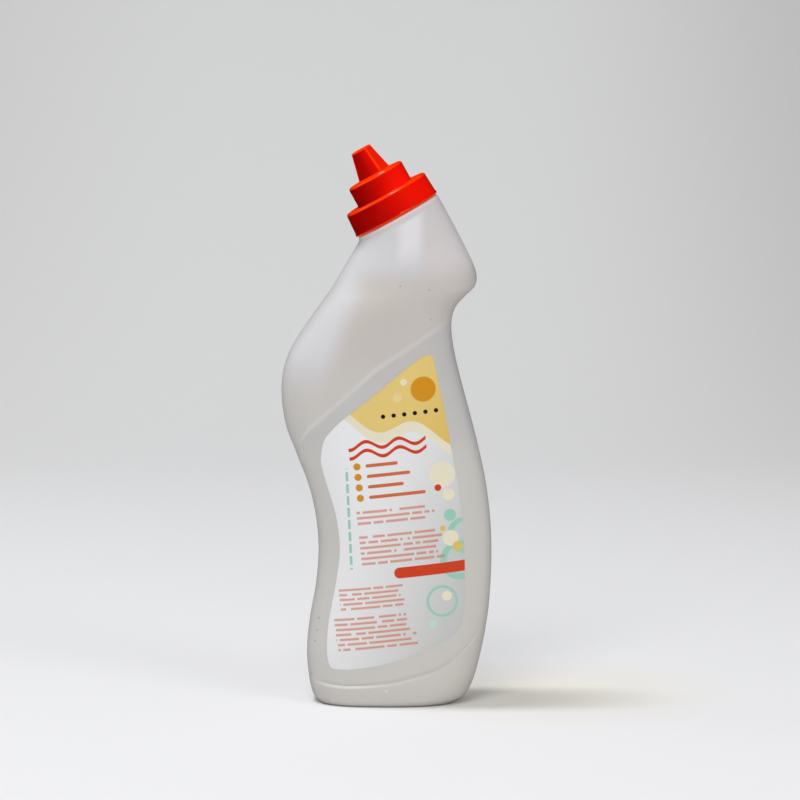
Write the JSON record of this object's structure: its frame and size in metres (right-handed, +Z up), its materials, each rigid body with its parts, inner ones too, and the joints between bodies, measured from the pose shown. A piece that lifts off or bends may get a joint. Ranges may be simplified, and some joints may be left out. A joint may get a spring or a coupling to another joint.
{
  "type": "toilet cleaner bottle",
  "caption": "Squeezable duck-neck bottle of toilet cleaner with a stepped screw cap, a nozzle insert, a front label and its gel.",
  "frame": {"origin": "on the floor, under the middle of the bounding box", "axes": "+Z up, -Y towards the viewer of the labelled front, the neck leans towards -X"},
  "size_m": [0.1118, 0.0562, 0.297],
  "materials": {
    "bottle_plastic": "satin, slightly translucent white",
    "gel": "cloudy white gel",
    "label_film": "printed satin film",
    "insert_plastic": "soft white plastic",
    "ring_foam": "white foamed seal",
    "cap_plastic": "glossy red moulding"
  },
  "bodies": {
    "bottle": {"bottle": "bottle_plastic", "gel_contents": "gel", "front_label": "label_film", "nozzle_insert": "insert_plastic"},
    "sealing_ring": {"sealing_ring": "ring_foam"},
    "cap": {"cap": "cap_plastic"}
  },
  "joints": [
    {"name": "cap_rise", "type": "slide", "parent": "bottle", "child": "sealing_ring", "axis": [-0.4848, 0, 0.8746], "range_m": [0, 0.00701]},
    {"name": "cap_turn", "type": "hinge", "parent": "sealing_ring", "child": "cap", "pos_m": [0.00538, 0, 0.2598], "axis": [-0.4848, 0, 0.8746], "range_deg": [0, 630]}
  ],
  "couplings": [
    {"joint": "cap_rise", "follows": "cap_turn", "m_per_rad": 0.00063662}
  ]
}
